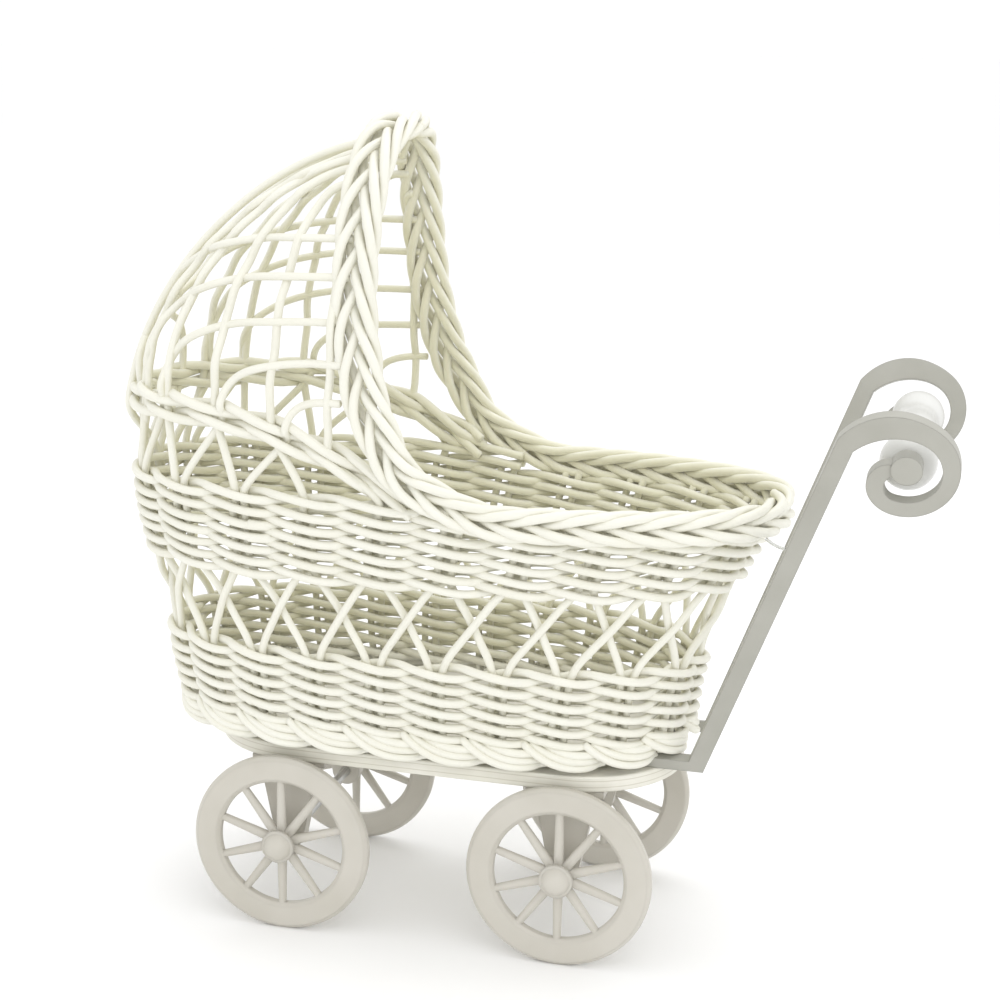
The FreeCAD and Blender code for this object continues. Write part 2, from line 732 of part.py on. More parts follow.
def slab_between(low, high):
    """Wide flat box between two heights, larger than the body in plan."""
    return Part.makeBox(400.0, 200.0, high - low, V(-200.0, -100.0, low))


def make_trellis():
    """Crossed stakes between the two woven bands, one passing outside the other."""
    pairs = int(size("stake_pairs"))
    low = size("low_band_top")
    high = size("high_band_bottom")
    radius = size("reed_radius")
    steps = pairs * 8
    around = even_angles((low + high) / 2, steps)
    clear_height = slab_between(low + 0.02, high - 0.02)
    rods = []
    for i in range(pairs):
        for lean in (-1, 1):
            inset = size("band_thick") / 2 - lean * (radius + size("strand_gap") / 2)
            points = []
            for step in range(5):
                share = step / 4.0
                height = low - 1.0 + (high - low + 2.0) * share
                shift = lean * (share - 0.5) * size("trellis_lean")
                index = ((i + 0.5 + size("stake_pair_turn") + shift) * 8) % steps
                first = int(math.floor(index))
                a = around[first % steps]
                b = around[(first + 1) % steps]
                if b < a:
                    b += 360.0
                angle = a + (b - a) * (index - first)
                points.append(outline(height, angle, inset))
            rods.append(rod_through(points, radius).common(clear_height))
    return add_shape("trellis_stakes", Part.makeCompound([rod.Solids[0] for rod in rods]))


def middle_band_height(x):
    """Height of the hood's middle band along the body."""
    share = min(1.0, max(0.0, (x + 95.0) / 86.0))
    return 207.0 - 24.0 * share ** 2


def side_point(x, height, inset, side):
    """Point of the hood's wall at a given x and height."""
    plane = size("arch_plane")
    reach = max(1e-6, plane - back_end(height) - inset)
    share = min(1.0, max(0.0, (plane - x) / reach))
    power = plan_power(height)
    y = (half_width(height) - inset) * (1 - share ** power) ** (1 / power)
    return V(x, side * y, height)


def make_middle_band():
    """Twisted band that ties the hood to the basket around the back."""
    inset = size("band_thick") / 2
    points = []
    for angle in even_angles(200.0, 60):
        at = outline(200.0, angle, inset)
        if at.x > -24.0:
            continue
        height = middle_band_height(at.x)
        level = outline(height, angle, inset)
        points.append(V(level.x, level.y, height))
    tip = V(-14.5, half_width(183.5) - inset, 183.5)
    points = [tip] + points + [V(tip.x, -tip.y, tip.z)]
    return add_shape("hood_middle_band", rod_through(points, size("middle_band_radius")))


def make_upper_stakes():
    """Stakes that cross the open gap between the upper band and the middle band."""
    pairs = int(size("stake_pairs"))
    radius = size("reed_radius")
    inset = size("band_thick") / 2
    low = size("high_band_top") + 0.02
    rods = []
    for angle in even_angles(180.0, pairs, size("stake_pair_turn")):
        for lean in (-1, 1):
            first = outline(low - 1.0, angle + lean * 1.6, inset)
            over = outline(size("hood_base"), angle + lean * 3.6, inset)
            top = middle_band_height(over.x) - size("middle_band_radius") - radius
            if first.x > LAST_STAKE_X or top - low < 3.0:
                continue
            last = outline(top, angle + lean * 3.6, inset)
            rod = rod_through([first, (first + last) * 0.5, last], radius)
            rods.append(rod.common(slab_between(low, top + radius)).Solids[0])
    return add_shape("upper_stakes", Part.makeCompound(rods))


# where the rim starts to run above the upper band, and the foremost stakes that stand free of it
RIM_START = 1.0
LAST_STAKE_X = -30.0
# half of the arch's middle line from its foot to its crown
ARCH_PATH = [(8.0, 51.5, 184.0), (-3.5, 54.0, 191.5), (-12.0, 54.5, 203.5), (-18.5, 53.5, 217.0),
             (-22.0, 51.0, 231.0), (-24.5, 47.5, 244.5), (-25.5, 44.0, 258.5), (-25.8, 39.5, 272.5),
             (-25.6, 33.5, 286.5), (-24.6, 25.0, 300.0), (-23.0, 14.0, 309.5), (-21.5, 0.0, 313.0)]


def make_arch():
    """Thick plaited arch at the open edge of the hood."""
    left = [V(x, -y, z) for x, y, z in ARCH_PATH]
    right = [V(x, y, z) for x, y, z in ARCH_PATH[-2::-1]]
    return add_shape("hood_arch_braid", rod_through(left + right, size("arch_radius")))


def arch_foot_block(side):
    """Block on the arch's side of the plane that ends the arch's foot."""
    first = V(ARCH_PATH[0][0], side * ARCH_PATH[0][1], ARCH_PATH[0][2])
    points = [V(x, side * y, z) for x, y, z in ARCH_PATH]
    edge = open_curve(points)
    along = edge.tangentAt(edge.FirstParameter)
    block = Part.makeBox(40.0, 40.0, 12.0, V(-20.0, -20.0, 0.0))
    block.Placement = FreeCAD.Placement(first, FreeCAD.Rotation(V(0, 0, 1), along))
    return block


def make_rim():
    """Plaited rim from one foot of the arch round the handle end to the other."""
    inset = size("rim_radius")
    top = size("high_band_rim") + inset + 0.2
    points = []
    for angle in even_angles(top, 60, 30.0):
        turn = angle - 360.0 if angle > 180.0 else angle
        if abs(turn) < 84.0:
            overhang = size("rim_overhang") * math.cos(math.radians(turn)) ** 2
            at = outline(top, turn, inset - overhang)
            lift = size("rim_foot_rise") * (max(0.0, 36.0 - at.x) / 24.0) ** 2
            points.append(V(at.x, at.y, top + lift))
    foot = ARCH_PATH[0]
    points = [V(foot[0], -foot[1], foot[2])] + points + [V(*foot)]
    rim = rod_through(points, inset)
    for side in (-1, 1):
        rim = rim.cut(arch_foot_block(side))
    return add_shape("rim_braid", rim.Solids[0])


# where each riser starts along the pram, how high it ends, and how early it bends forward
RISERS = ((-37.0, 284.0, 0.4), (-58.0, 293.5, 0.65), (-80.0, 299.5, 0.95), (-102.0, 303.5, 1.25),
          (-116.0, 306.0, 1.5))
# the same for the arched stakes, which bend forward early
ARCS = ((-50.0, 215.0, 0.7), (-76.0, 228.5, 0.7), (-104.0, 243.5, 0.7), (-114.0, 259.5, 0.7),
        (-122.0, 273.0, 0.7))
BACK_SHARE = 0.985
ARC_RISE_POWER = 0.7


def bent_stake(place, side, inset, rise_power):
    """Stake that rises from the middle band and bends forward to the arch."""
    foot, top, bend = place
    low = middle_band_height(foot) + size("middle_band_radius") + 0.6
    front = size("stake_front")
    plane = size("arch_plane")
    points = []
    for i in range(9):
        turn = math.pi / 2 * i / 8.0
        z = low + (top - low) * math.sin(turn) ** rise_power
        x = front + (foot - front) * max(0.0, math.cos(turn)) ** bend
        x = max(x, plane - (plane - back_end(z) - inset) * BACK_SHARE)
        points.append(side_point(x, z, inset, side))
    return rod_through(points, size("reed_radius"))


def spine_stake(side, inset):
    """Stake that follows the hood's ridge from the middle band to the arch's crown."""
    low = size("hood_base") + 13.0
    top = size("hood_base") + size("hood_rise") - 2.0
    plane = size("arch_plane")
    points = []
    for i in range(10):
        z = low + (top - low) * math.sin(math.pi / 2 * i / 9.0)
        x = min(size("stake_front"), plane - (plane - back_end(z) - inset) * BACK_SHARE)
        points.append(side_point(x, z, inset, side))
    return rod_through(points, size("reed_radius"))


def make_risers():
    """Rising stakes of the hood: five a side and two along the ridge, outside the arched ones."""
    inset = -size("reed_radius") - size("strand_gap")
    rods = []
    for side in (-1, 1):
        rods += [bent_stake(place, side, inset, 1.0) for place in RISERS]
        rods.append(spine_stake(side, inset))
    return add_shape("hood_risers", Part.makeCompound(rods))


def make_hood_arcs():
    """Arched stakes of the hood, which cross under the rising ones."""
    inset = size("reed_radius") + size("strand_gap")
    rods = []
    for side in (-1, 1):
        rods += [bent_stake(place, side, inset, ARC_RISE_POWER) for place in ARCS]
    return add_shape("hood_arcs", Part.makeCompound(rods))


# the tie's line from the rim to the left arm
TIE_PATH = [(125.5, -21.0, 168.0), (130.0, -30.0, 168.2), (134.5, -40.0, 170.0)]


def make_tie():
    """Clear tie between the rim's handle end and the left arm."""
    return add_shape("rim_tie", rod_through([V(*point) for point in TIE_PATH], size("tie_radius")))


def build():
    """Make every sub-part and list them."""
    made = [make_board()]
    for end, sign in (("front", "-"), ("rear", "+")):
        middle = "sizes.frame_shift %s sizes.axle_half_base" % sign
        made.append(make_bracket(end + "_axle_bracket", middle))
        made.append(make_rod(end + "_axle_rod", middle))
        for hand, side in (("left", -1), ("right", 1)):
            made.append(make_wheel("wheel_%s_%s" % (end, hand), middle, side))
            made.append(make_cap("hub_cap_%s_%s" % (end, hand), middle, side))
    made.append(make_bracket_screws())
    arms = [arm_solid(-1), arm_solid(1)]
    made += [add_shape("handle_arm_left", arms[0]), add_shape("handle_arm_right", arms[1])]
    made += [make_grip(arms), make_cross_plate(), make_handle_screws()]
    made += [make_floor(), make_border(), make_low_band(), make_trellis(), make_high_band()]
    made += [make_upper_stakes(), make_rim(), make_middle_band(), make_risers(), make_hood_arcs()]
    made += [make_arch(), make_tie()]
    return made


parts = build()
doc.recompute()
for item in doc.Objects:
    if "Invalid" in item.State or "Error" in item.State:
        raise RuntimeError("%s did not compute: %s" % (item.Name, item.State))
os.makedirs("parts", exist_ok=True)
for part in parts:
    shape = part.Shape
    if shape.isNull() or not shape.isValid() or not shape.Solids:
        raise RuntimeError("%s has no valid solid" % part.Label)
    shape.exportStep(os.path.join("parts", part.Label + ".step"))
    box = shape.optimalBoundingBox(False, False)
    print("%-20s %3d solids %9.1f mm3  x %7.1f %7.1f  y %7.1f %7.1f  z %7.1f %7.1f" % (
        part.Label, len(shape.Solids), shape.Volume, box.XMin, box.XMax, box.YMin, box.YMax, box.ZMin, box.ZMax))
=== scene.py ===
import json
import math

import bpy
import numpy as np
from mathutils import Matrix, Vector


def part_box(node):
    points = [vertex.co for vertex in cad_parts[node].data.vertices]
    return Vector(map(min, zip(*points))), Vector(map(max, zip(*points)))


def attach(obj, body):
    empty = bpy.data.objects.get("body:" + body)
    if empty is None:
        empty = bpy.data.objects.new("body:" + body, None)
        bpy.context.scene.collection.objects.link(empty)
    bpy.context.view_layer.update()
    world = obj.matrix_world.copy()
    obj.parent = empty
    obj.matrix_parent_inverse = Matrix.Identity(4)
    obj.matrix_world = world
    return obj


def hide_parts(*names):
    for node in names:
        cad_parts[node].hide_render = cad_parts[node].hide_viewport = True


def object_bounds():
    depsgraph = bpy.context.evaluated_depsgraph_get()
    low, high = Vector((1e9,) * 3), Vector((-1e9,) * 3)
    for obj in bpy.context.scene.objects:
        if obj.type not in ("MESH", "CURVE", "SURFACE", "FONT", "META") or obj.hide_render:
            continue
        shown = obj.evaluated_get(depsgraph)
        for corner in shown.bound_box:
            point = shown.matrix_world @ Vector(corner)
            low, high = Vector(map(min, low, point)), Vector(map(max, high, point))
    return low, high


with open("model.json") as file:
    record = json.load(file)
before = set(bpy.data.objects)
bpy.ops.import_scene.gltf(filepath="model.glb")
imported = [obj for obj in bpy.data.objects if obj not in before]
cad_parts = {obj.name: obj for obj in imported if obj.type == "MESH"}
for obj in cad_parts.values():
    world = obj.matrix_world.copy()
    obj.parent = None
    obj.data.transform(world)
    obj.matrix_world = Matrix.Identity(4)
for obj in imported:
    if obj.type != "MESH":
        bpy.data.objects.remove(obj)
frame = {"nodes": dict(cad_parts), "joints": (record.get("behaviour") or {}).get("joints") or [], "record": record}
cad_low, cad_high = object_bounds()

# The wicker is drawn in millimetres about the middle of the wheel base, like the CAD part,
# and moved into the row frame by the middle of the wheel axles.
JOINTS = frame["joints"]
ROW_SHIFT = np.array([sum(j["pos_m"][0] for j in JOINTS) / len(JOINTS), 0.0, 0.0])
RNG = np.random.default_rng(7)

# ---------------------------------------------------------------- body form (millimetres)

# Places around the wall are counted in stake pairs, from the handle end by way of +Y.
PAIRS = 22
PAIR_TURN = 0.1             # where the first pair stands
MEMBER = 0.1                # how far each stake of a pair stands from the pair's middle

# The basket's outline: its two ends and half width at a few heights.
EDGE_HEIGHTS = (77, 85, 100, 120, 140, 160, 180, 200)
BACK_EDGE = (-107, -111.5, -114.8, -117.6, -122.3, -127.5, -129.6, -129.4)
FRONT_EDGE = (97.5, 98.6, 100.6, 104.6, 112, 122, 131.5, 139)
HALF_WIDTH = (46, 47.5, 49.2, 50.6, 52.6, 55.4, 57.5, 56)
WIDEST_PLANE = -16.0        # x where the two halves of the outline meet
PLAN_POWER = 2.6            # squareness of the outline
HOOD_PLAN_DROP = 0.5        # how much rounder it is at the hood's top

# The hood: a rounded shell behind the arch, on the basket's upper edge.
HOOD_BASE = 200.0
HOOD_RISE = 107.0
HOOD_DEPTH = 105.4
HOOD_HALF = 55.0
HOOD_BACK_POWER = 1.7
HOOD_SIDE_POWER = 2.1
ARCH_PLANE = -24.0

# The hood's middle band, highest at the back and falling towards the arch.
BAND_HEIGHT = 207.0
BAND_DROP = 24.0
BAND_BACK = -95.0
BAND_RUN = 86.0
BAND_REACH = 1.1

WALL_SINK = -3.8            # middle of the wall, inward from the outline
WEAVER = 1.62               # radius of a weaving strand
STAKE = 1.5                 # radius of a stake


def hood_share(height):
    """How far up the hood a height lies, 0 to 1."""
    return np.clip((height - HOOD_BASE) / HOOD_RISE, 0, 1)


def back_end(height):
    """Where the back end of the body lies at a height."""
    share = (1 - hood_share(height) ** HOOD_BACK_POWER) ** (1 / HOOD_BACK_POWER)
    hood = ARCH_PLANE - HOOD_DEPTH * share
    return np.where(height > HOOD_BASE, hood, np.interp(height, EDGE_HEIGHTS, BACK_EDGE))


def half_width(height):
    """Half of the body's width at a height."""
    hood = HOOD_HALF * (1 - hood_share(height) ** HOOD_SIDE_POWER) ** (1 / HOOD_SIDE_POWER)
    return np.where(height > HOOD_BASE, hood, np.interp(height, EDGE_HEIGHTS, HALF_WIDTH))


def plan_power(height):
    """Squareness of the body's outline at a height."""
    return PLAN_POWER - HOOD_PLAN_DROP * hood_share(height)


def outline(height, angle):
    """Body outline at a height for angles in degrees: 0 at the handle end, 90 at +Y."""
    cosine = np.cos(np.radians(angle))
    sine = np.sin(np.radians(angle))
    power = 2.0 / plan_power(height)
    front = np.interp(height, EDGE_HEIGHTS, FRONT_EDGE) - WIDEST_PLANE
    reach = np.where(cosine < 0, WIDEST_PLANE - back_end(height), front)
    x = WIDEST_PLANE + reach * np.sign(cosine) * np.abs(cosine) ** power
    y = half_width(height) * np.sign(sine) * np.abs(sine) ** power
    return x, y


LEVEL_STEP = 2.0
LEVELS = np.arange(70.0, 212.0, LEVEL_STEP)
RING_STEPS = 720


def even_ring(height):
    """Outline at a height, resampled at even steps of length."""
    x, y = outline(height, np.linspace(0, 360, 2 * RING_STEPS + 1))
    run = np.concatenate([[0], np.cumsum(np.hypot(np.diff(x), np.diff(y)))])
    even = np.linspace(0, run[-1], RING_STEPS + 1)
    return np.interp(even, run, x), np.interp(even, run, y)


GRID = np.array([even_ring(h) for h in LEVELS])


def on_grid(turn, height):
    """Wall point for a turn counted in stake pairs and a height, without offset."""
    share = np.mod(np.asarray(turn, float) / PAIRS, 1.0) * RING_STEPS
    i = np.minimum(share.astype(int), RING_STEPS - 1)
    f = share - i
    level = (np.asarray(height, float) - LEVELS[0]) / LEVEL_STEP
    level = np.clip(level, 0, len(LEVELS) - 1.001)
    j = level.astype(int)
    g = level - j
    rows = []
    for k in (0, 1):
        low = GRID[j, k, i] * (1 - f) + GRID[j, k, i + 1] * f
        high = GRID[j + 1, k, i] * (1 - f) + GRID[j + 1, k, i + 1] * f
        rows.append(low * (1 - g) + high * g)
    return np.stack([rows[0], rows[1], np.asarray(height, float) + 0 * rows[0]], -1)


def unit(vectors):
    """Vectors scaled to length one."""
    return vectors / np.maximum(np.linalg.norm(vectors, axis=-1, keepdims=True), 1e-9)


NEAR_TURN = 0.08            # steps over which the wall's slope is measured
NEAR_RISE = 3.0


def wall(turn, height, out=0.0):
    """Points of the wall pushed outward by a distance."""
    turn, height, out = np.broadcast_arrays(np.asarray(turn, float), height, out)
    along = on_grid(turn + NEAR_TURN, height) - on_grid(turn - NEAR_TURN, height)
    up = on_grid(turn, height + NEAR_RISE) - on_grid(turn, height - NEAR_RISE)
    return on_grid(turn, height) + unit(np.cross(along, up)) * out[..., None]


def middle_band_height(x):
    """Height of the hood's middle band along the body."""
    return BAND_HEIGHT - BAND_DROP * np.clip((x - BAND_BACK) / BAND_RUN, 0, BAND_REACH) ** 2


def side_point(x, height, out, side):
    """Point of the hood's wall at a given x and height."""
    reach = np.maximum(1e-6, ARCH_PLANE - back_end(height) + out)
    share = np.clip((ARCH_PLANE - x) / reach, 0, 1)
    power = plan_power(height)
    y = (half_width(height) + out) * (1 - share ** power) ** (1 / power)
    return np.array([x, side * float(y), height])


# ---------------------------------------------------------------- strands

STRAND_STEP = 1.6           # distance between a strand's rings
STRAND_SIDES = 10
END_ROUNDING = 0.35         # a strand's ends run on this far and narrow to this share
END_SHARE = 0.72
GRAIN_SPREAD = 400.0        # so that no two strands show the same stretch of grain

# The line inside the basket and hood that outward directions lead away from.
CORE_LOW = (-60, 0, 70)
CORE_HIGH = (70, 0, 240)

INNER_FROM = 86.0           # the painted inside shade begins above the foot border
INNER_FADE = 10.0


def run_lengths(line):
    """Length run up to each point of a line."""
    return np.concatenate([[0], np.cumsum(np.linalg.norm(np.diff(line, axis=0), axis=1))])


def even_line(line, step=STRAND_STEP):
    """Polyline resampled at even steps of length."""
    run = run_lengths(line)
    even = np.linspace(0, run[-1], max(4, int(run[-1] / step) + 1))
    return np.stack([np.interp(even, run, line[:, k]) for k in range(3)], -1)


def smooth_line(points, step=STRAND_STEP):
    """Smooth curve through points, resampled at even steps."""
    points = np.asarray(points, float)
    gaps = np.maximum(np.linalg.norm(np.diff(points, axis=0), axis=1), 1e-6)
    knots = np.concatenate([[0], np.cumsum(np.sqrt(gaps))])
    slopes = np.gradient(points, knots, axis=0)
    fine = np.linspace(0, knots[-1], max(8, int(gaps.sum() / step * 2)))
    k = np.clip(np.searchsorted(knots, fine, side="right") - 1, 0, len(points) - 2)
    span = (knots[k + 1] - knots[k])[:, None]
    t = (fine - knots[k])[:, None] / span
    leaving = (2 * t ** 3 - 3 * t ** 2 + 1) * points[k] + (t ** 3 - 2 * t ** 2 + t) * span * slopes[k]
    arriving = (3 * t ** 2 - 2 * t ** 3) * points[k + 1] + (t ** 3 - t ** 2) * span * slopes[k + 1]
    return even_line(leaving + arriving, step)


def carried_frames(line):
    """Two cross directions at each point of a line, carried along it without twist, and its course."""
    tangents = unit(np.gradient(line, axis=0))
    across = np.cross(tangents[0], (0, 0, 1))
    if np.linalg.norm(across) < 0.1:
        across = np.cross(tangents[0], (1, 0, 0))
    side = unit(across)
    sides = []
    for tangent in tangents:
        side = side - tangent * np.dot(side, tangent)
        side = side / np.linalg.norm(side)
        sides.append(side)
    sides = np.array(sides)
    return sides, np.cross(tangents, sides), tangents


def body_outward(points):
    """Directions that lead away from the middle of the basket and hood."""
    return unit(points - np.clip(points, CORE_LOW, CORE_HIGH))


def inner_side(points):
    """Share of the painted inside shade by height: the foot border has none."""
    return np.clip((points[..., 2] - INNER_FROM) / INNER_FADE, 0, 1)


def doubled_ends(values):
    """Values with the first and the last one repeated."""
    return np.concatenate([values[:1], values, values[-1:]])


class Strands:
    """Collects round strands and turns them into one mesh piece."""

    def __init__(self):
        self.vertices = []
        self.faces = []
        self.grain = []
        self.tone = []
        self.inner = []
        self.count = 0

    def add(self, line, radius):
        """One round strand along a line; its ends are cut and slightly rounded."""
        sides, ups, tangents = carried_frames(line)
        runs = doubled_ends(run_lengths(line))
        line = doubled_ends(line)
        line[0] -= tangents[0] * END_ROUNDING
        line[-1] += tangents[-1] * END_ROUNDING
        radii = np.full(len(line), float(radius))
        radii[[0, -1]] *= END_SHARE
        around = np.linspace(0, 2 * np.pi, STRAND_SIDES, endpoint=False)
        across = doubled_ends(sides)[:, None] * np.cos(around)[None, :, None] * radii[:, None, None]
        upward = doubled_ends(ups)[:, None] * np.sin(around)[None, :, None] * radii[:, None, None]
        rings = line[:, None] + across + upward
        tone = RNG.random()
        offset = RNG.random() * GRAIN_SPREAD
        # How far each point faces into the basket: the share of painted shade on inward-facing sides.
        inward = inner_side(rings) * -np.sum(unit(rings - line[:, None]) * body_outward(rings), -1)
        length = len(line)
        self.vertices.append(rings.reshape(-1, 3))
        self.grain.append(np.stack([np.repeat(runs + offset, STRAND_SIDES),
                                    np.tile(np.cos(around), length),
                                    np.tile(np.sin(around), length)], -1))
        self.tone.append(np.full(length * STRAND_SIDES, tone))
        self.inner.append(np.clip(inward, 0, 1).ravel())
        self.join_rings(length)

    def join_rings(self, length):
        """Faces between a strand's rings, and one across each end."""
        n = STRAND_SIDES
        for i in range(length - 1):
            here = self.count + i * n
            there = here + n
            for k in range(n):
                self.faces.append((here + k, here + (k + 1) % n, there + (k + 1) % n, there + k))
        last = self.count + (length - 1) * n
        self.faces.append(tuple(self.count + k for k in reversed(range(n))))
        self.faces.append(tuple(last + k for k in range(n)))
        self.count += length * n

    def piece(self, name, material, nodes, body="frame"):
        """Mesh object that rides on a body and stands for CAD nodes."""
        mesh = bpy.data.meshes.new(name)
        vertices = np.concatenate(self.vertices) * 0.001 + ROW_SHIFT
        mesh.from_pydata(vertices.tolist(), [], self.faces)
        mesh.shade_smooth()
        for title, kind, field, values in (("grain", "FLOAT_VECTOR", "vector", self.grain),
                                           ("tone", "FLOAT", "value", self.tone),
                                           ("inner", "FLOAT", "value", self.inner)):
            layer = mesh.attributes.new(title, kind, "POINT")
            layer.data.foreach_set(field, np.concatenate(values).astype(np.float32).ravel())
        mesh.materials.append(material)
        obj = bpy.data.objects.new(name, mesh)
        bpy.context.scene.collection.objects.link(obj)
        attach(obj, body)
        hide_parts(*nodes)


# ---------------------------------------------------------------- materials

class Paint:
    """Small helper that builds a node material around one Principled shader."""

    def __init__(self, name):
        self.material = bpy.data.materials.new(name)
        self.material.use_nodes = True
        self.nodes = self.material.node_tree.nodes
        self.links = self.material.node_tree.links
        self.shader = self.nodes["Principled BSDF"]

    def node(self, kind, **inputs):
        """New node with its input values set by name."""
        made = self.nodes.new(kind)
        for key, value in inputs.items():
            made.inputs[key.replace("_", " ")].default_value = value
        return made

    def link(self, source, target):
        """Join two sockets."""
        self.links.new(source, target)

    def noise(self, vector, scale, detail=3.0, roughness=0.55):
        """Factor of a noise texture."""
        made = self.node("ShaderNodeTexNoise", Scale=scale, Detail=detail, Roughness=roughness)
        self.link(vector, made.inputs["Vector"])
        return made.outputs["Fac"]

    def ramp(self, factor, low, high, at=(0.35, 0.65)):
        """Colour ramp between two colours."""
        made = self.nodes.new("ShaderNodeValToRGB")
        made.color_ramp.elements[0].position = at[0]
        made.color_ramp.elements[0].color = (*low, 1)
        made.color_ramp.elements[1].position = at[1]
        made.color_ramp.elements[1].color = (*high, 1)
        self.link(factor, made.inputs["Fac"])
        return made.outputs["Color"]

    def span(self, factor, low, high):
        """Map a 0..1 factor to a range."""
        made = self.node("ShaderNodeMapRange", To_Min=low, To_Max=high)
        self.link(factor, made.inputs["Value"])
        return made.outputs["Result"]

    def mix(self, factor, first, second, blend="MIX"):
        """Mix two colours; the factor is a socket or a number."""
        made = self.nodes.new("ShaderNodeMix")
        made.data_type = "RGBA"
        made.blend_type = blend
        sockets = (made.inputs[0], made.inputs[6], made.inputs[7])
        for value, socket in zip((factor, first, second), sockets):
            if isinstance(value, bpy.types.NodeSocket):
                self.link(value, socket)
            elif isinstance(value, tuple):
                socket.default_value = (*value, 1)
            else:
                socket.default_value = value
        return made.outputs[2]

    def math(self, kind, first, second):
        """Maths on two factors."""
        made = self.nodes.new("ShaderNodeMath")
        made.operation = kind
        for value, socket in ((first, made.inputs[0]), (second, made.inputs[1])):
            if isinstance(value, bpy.types.NodeSocket):
                self.link(value, socket)
            else:
                socket.default_value = value
        return made.outputs[0]

    def bump(self, height, strength, distance, normal=None):
        """Bump node on top of another one."""
        made = self.node("ShaderNodeBump", Strength=strength, Distance=distance)
        self.link(height, made.inputs["Height"])
        if normal is not None:
            self.link(normal, made.inputs["Normal"])
        return made.outputs["Normal"]

    def finish(self, colour, roughness, normal=None, **constants):
        """Wire the shader up."""
        self.link(colour, self.shader.inputs["Base Color"])
        self.link(roughness, self.shader.inputs["Roughness"])
        if normal is not None:
            self.link(normal, self.shader.inputs["Normal"])
        for key, value in constants.items():
            self.shader.inputs[key.replace("_", " ")].default_value = value
        return self.material

    def attribute(self, name, output):
        """A value that is stored on the mesh."""
        made = self.node("ShaderNodeAttribute")
        made.attribute_name = name
        return made.outputs[output]

    def position(self):
        """Object coordinates, which are the row frame in metres."""
        return self.node("ShaderNodeTexCoord").outputs["Object"]

    def stretched(self, vector, scale):
        """Vector scaled per axis."""
        made = self.nodes.new("ShaderNodeMapping")
        self.link(vector, made.inputs["Vector"])
        made.inputs["Scale"].default_value = scale
        return made.outputs["Vector"]


def reed_material():
    """Cream paint brushed on round reed: long fibres, paint ridges, thin and thick patches, with painted shade in
    the crevices between strands and on their inward-facing sides.
    """
    paint = Paint("painted_reed")
    grain = paint.attribute("grain", "Vector")
    tone = paint.attribute("tone", "Fac")
    inner = paint.attribute("inner", "Fac")
    place = paint.position()
    fibre = paint.noise(paint.stretched(grain, (0.06, 3.0, 3.0)), 1.6, 4.0, 0.6)
    lumps = paint.noise(paint.stretched(grain, (0.35, 0.6, 0.6)), 1.0, 2.0, 0.5)
    patches = paint.noise(place, 55.0, 3.0, 0.55)
    cream = paint.mix(tone, (0.80, 0.785, 0.665), (0.85, 0.84, 0.745))
    white = paint.mix(paint.span(patches, 0.15, 0.95), cream, (0.87, 0.865, 0.80))
    colour = paint.mix(paint.span(fibre, 0.0, 0.28), white, (0.74, 0.715, 0.59))
    # Painted shade: an ambient-occlusion ramp darkens the reed to a warm brown where strands lie close together,
    # as shade falls in the crevices.
    crevice = paint.node("ShaderNodeAmbientOcclusion", Distance=0.004)
    crevice.samples = 6
    shade = paint.ramp(crevice.outputs["AO"], (0.66, 0.62, 0.48), (1, 1, 1), (0.12, 0.62))
    colour = paint.mix(0.22, colour, paint.mix(1.0, colour, shade, "MULTIPLY"))
    # Painted shade: sides facing into the basket are multiplied to a darker, yellower tone, standing in for the
    # shade and bounce light inside the basket.
    inside_shade = paint.mix(1.0, colour, (0.88, 0.865, 0.725), "MULTIPLY")
    colour = paint.mix(inner, colour, inside_shade)
    drops = paint.noise(place, 1400.0, 2.0, 0.6)
    normal = paint.bump(fibre, 0.6, 0.00028)
    normal = paint.bump(lumps, 0.5, 0.0006, normal)
    normal = paint.bump(drops, 0.35, 0.00012, normal)
    rough = paint.span(patches, 0.40, 0.58)
    return paint.finish(colour, rough, normal, Specular_IOR_Level=0.42,
                        Coat_Weight=0.08, Coat_Roughness=0.3)


def moulded_material(name, low, high, rough, speckle, coat=0.0, edge=0.0008):
    """Moulded plastic or sprayed paint: soft edges and colour drift, orange peel, dull specks."""
    paint = Paint(name)
    place = paint.position()
    drift = paint.noise(place, 24.0, 3.0, 0.6)
    peel = paint.noise(place, 900.0, 2.0, 0.5)
    specks = paint.noise(place, 260.0, 5.0, 0.7)
    colour = paint.ramp(drift, low, high)
    dull = tuple(c * 0.8 for c in low)
    colour = paint.mix(paint.math("MULTIPLY", paint.span(specks, 0.0, 1.0), speckle), colour, dull)
    rounded = paint.node("ShaderNodeBevel", Radius=edge)
    rounded.samples = 4
    normal = paint.bump(peel, 0.08, 0.0001, rounded.outputs["Normal"])
    normal = paint.bump(drift, 0.12, 0.0012, normal)
    roughness = paint.span(specks, rough[0], rough[1])
    return paint.finish(colour, roughness, normal, Specular_IOR_Level=0.5, Coat_Weight=coat,
                        Coat_Roughness=0.12)


PLY_LINES = 5.0             # plies counted across the board's thickness


